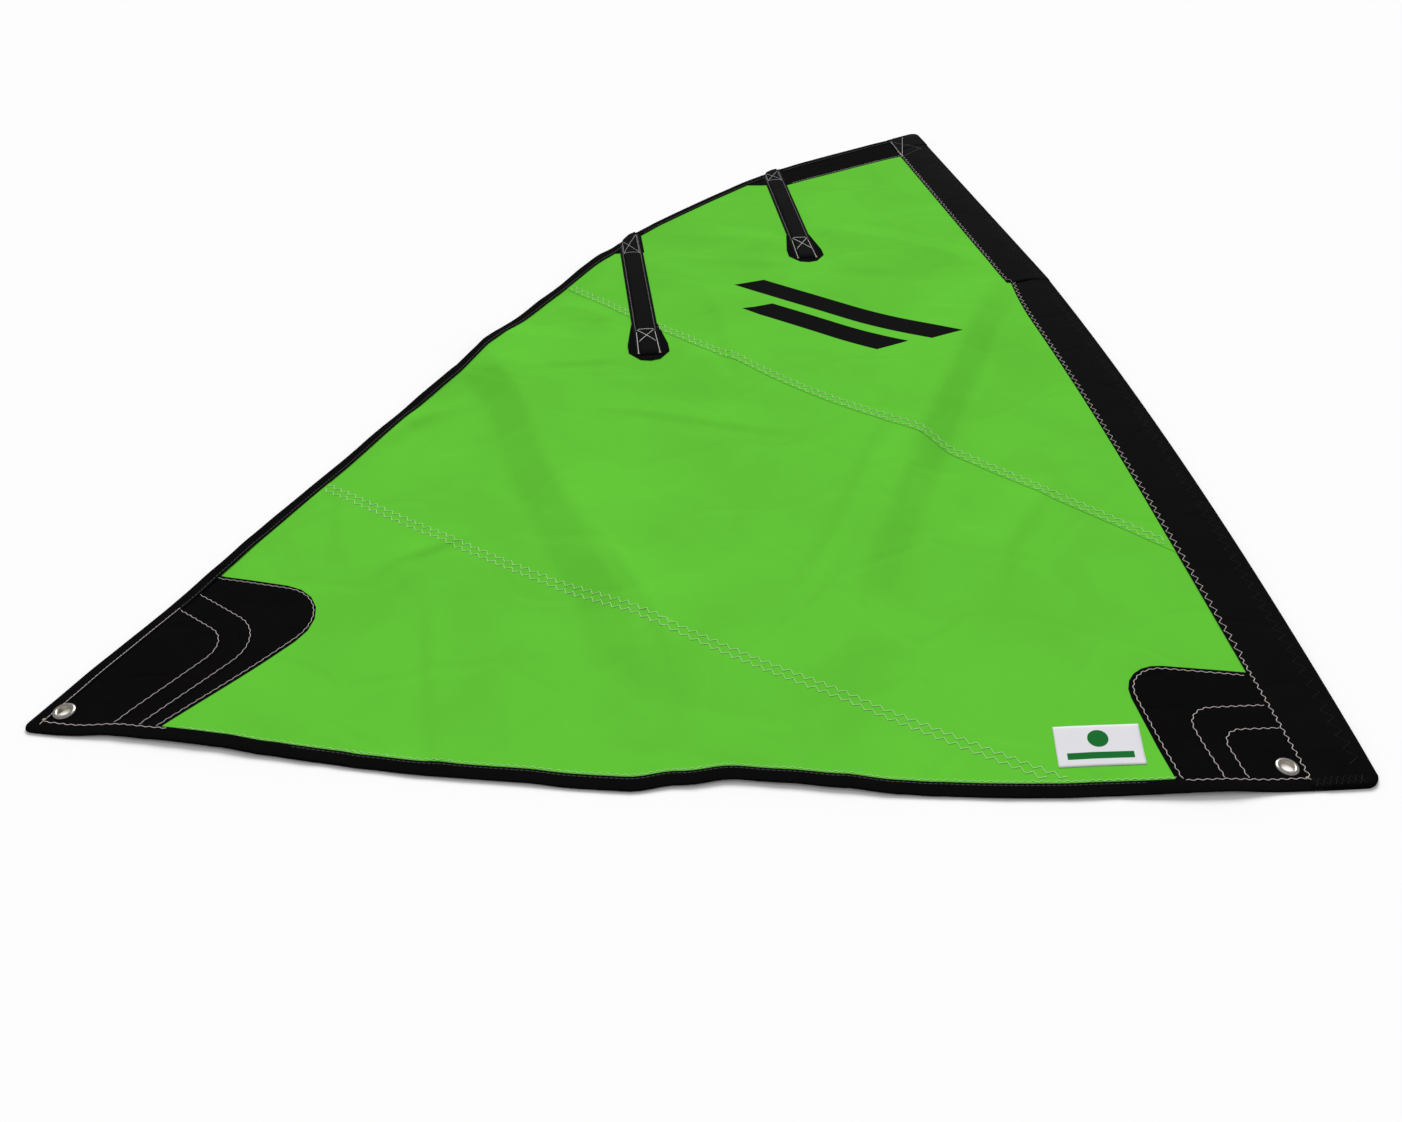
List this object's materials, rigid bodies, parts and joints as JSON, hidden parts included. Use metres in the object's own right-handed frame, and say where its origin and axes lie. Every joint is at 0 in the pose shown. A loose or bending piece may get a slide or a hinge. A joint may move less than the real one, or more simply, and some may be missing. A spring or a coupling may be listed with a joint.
{
  "type": "windsurf sail",
  "caption": "Small roll-up windsurf sail with a mast sleeve, black binding and corner patches, leech batten pockets and metal eyelets at the tack and clew.",
  "frame": {"origin": "axis of the tack eyelet, at the back face that the sail lies on", "axes": "+Y up the luff towards the head, +X ahead of the luff, +Z out of the face, away from the floor"},
  "size_m": [1.3411, 1.8087, 0.0105],
  "materials": {
    "sail_cloth_green": "smooth coated polyester sailcloth, soft sheen",
    "sleeve_cloth_black": "matte woven polyester",
    "tape_black": "satin woven binding tape",
    "patch_cloth_black": "matte woven polyester",
    "eyelet_nickel": "nickel plate, lightly worn",
    "fibreglass": "pale translucent laminate",
    "tip_plastic": "moulded, matte",
    "label_cloth": "woven label, plain",
    "print_film": "thin printed film"
  },
  "bodies": {
    "sail": {"head_panel": "sail_cloth_green", "middle_panel": "sail_cloth_green", "clew_panel": "sail_cloth_green", "mast_sleeve_lower": "sleeve_cloth_black", "mast_sleeve_upper": "sleeve_cloth_black", "sleeve_head_cap": "sleeve_cloth_black", "head_band": "patch_cloth_black", "leech_tape_lower": "tape_black", "leech_tape_middle": "tape_black", "leech_tape_upper": "tape_black", "foot_tape": "tape_black", "tack_patch_large": "patch_cloth_black", "tack_patch_middle": "patch_cloth_black", "tack_patch_small": "patch_cloth_black", "clew_patch_large": "patch_cloth_black", "clew_patch_middle": "patch_cloth_black", "clew_patch_small": "patch_cloth_black", "tack_eyelet": "eyelet_nickel", "tack_eyelet_washer": "eyelet_nickel", "clew_eyelet": "eyelet_nickel", "clew_eyelet_washer": "eyelet_nickel", "upper_batten_pocket": "patch_cloth_black", "upper_pocket_end_patch": "patch_cloth_black", "upper_pocket_mouth_patch": "patch_cloth_black", "lower_batten_pocket": "patch_cloth_black", "lower_pocket_end_patch": "patch_cloth_black", "lower_pocket_mouth_patch": "patch_cloth_black", "label": "label_cloth", "printed_mark": "print_film"},
    "upper_batten": {"upper_batten": "fibreglass", "upper_batten_tips": "tip_plastic"},
    "lower_batten": {"lower_batten": "fibreglass", "lower_batten_tips": "tip_plastic"}
  },
  "joints": [
    {"name": "upper_batten_slide", "type": "slide", "parent": "sail", "child": "upper_batten", "axis": [-0.0122, 0.9999, 0], "range_m": [0, 0.4]},
    {"name": "lower_batten_slide", "type": "slide", "parent": "sail", "child": "lower_batten", "axis": [-0.0297, 0.9996, 0], "range_m": [0, 0.425]}
  ]
}
